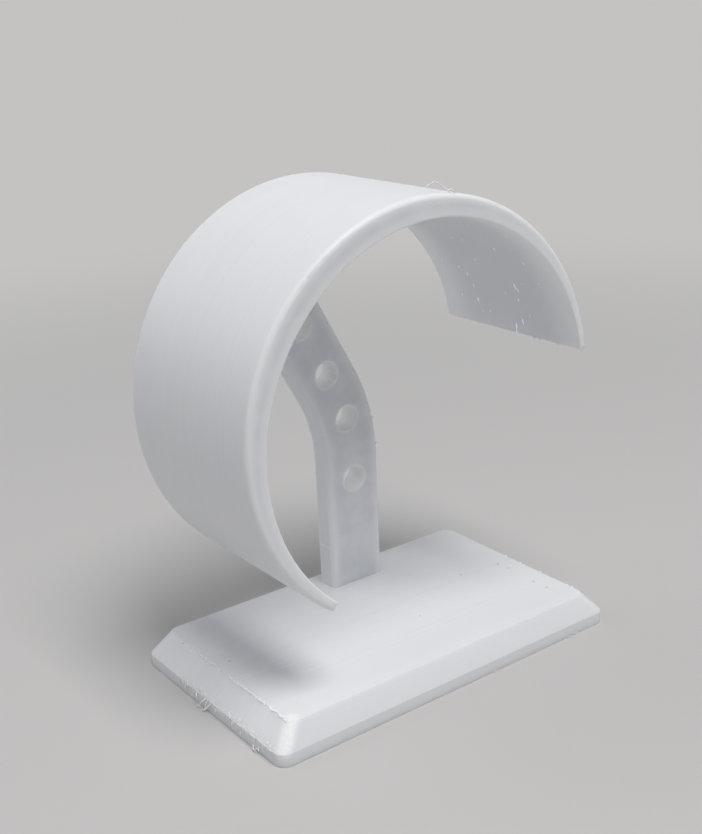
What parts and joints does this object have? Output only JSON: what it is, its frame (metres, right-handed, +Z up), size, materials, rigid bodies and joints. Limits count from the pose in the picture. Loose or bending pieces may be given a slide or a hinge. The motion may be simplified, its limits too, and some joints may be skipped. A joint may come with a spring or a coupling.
{
  "type": "watch stand",
  "caption": "Small printed watch stand: bevelled base, drilled side arm that leans forward, and a broad open ring on which a closed strap or bracelet hangs.",
  "frame": {"origin": "middle of the underside of the base, which is also the middle of the bounding box's bottom face", "axes": "+Z up; X across the width, with the arm on the -X side; -Y towards the front, where the ring reaches down to its tip"},
  "size_m": [0.036, 0.06, 0.0694],
  "materials": {
    "plastic": "satin, with fine print layers"
  },
  "bodies": {
    "root": {"stand": "plastic"}
  },
  "joints": []
}
